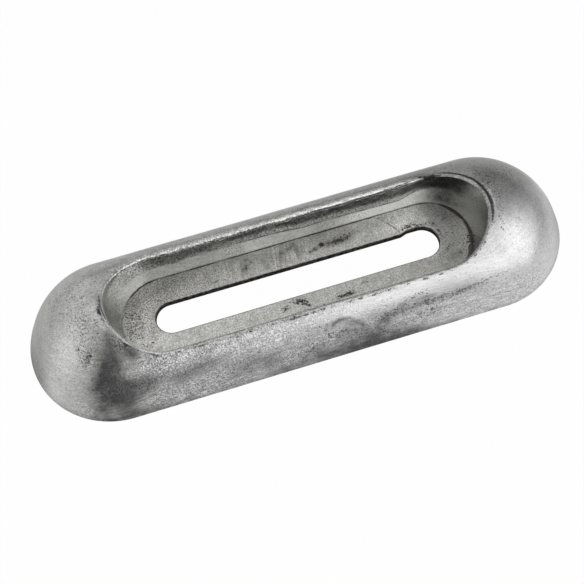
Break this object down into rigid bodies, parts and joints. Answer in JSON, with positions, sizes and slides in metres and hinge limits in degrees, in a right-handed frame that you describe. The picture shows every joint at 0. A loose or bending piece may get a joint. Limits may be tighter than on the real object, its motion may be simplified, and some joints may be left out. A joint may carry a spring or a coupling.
{
  "type": "sacrificial hull anode",
  "caption": "Loaf-shaped cast aluminium hull anode with rounded ends and a pocket floored by a slotted steel plate.",
  "frame": {"origin": "middle of the flat back, on the plane that lies against the hull", "axes": "+X along the anode, +Z away from the hull through the pocket's mouth"},
  "size_m": [0.2096, 0.0646, 0.028],
  "materials": {
    "cast_alloy": "as cast, bright in places and smudged",
    "plate_steel": "rolled and dull, with dark specks"
  },
  "bodies": {
    "root": {"anode_casting": "cast_alloy", "slotted_plate": "plate_steel"}
  },
  "joints": []
}
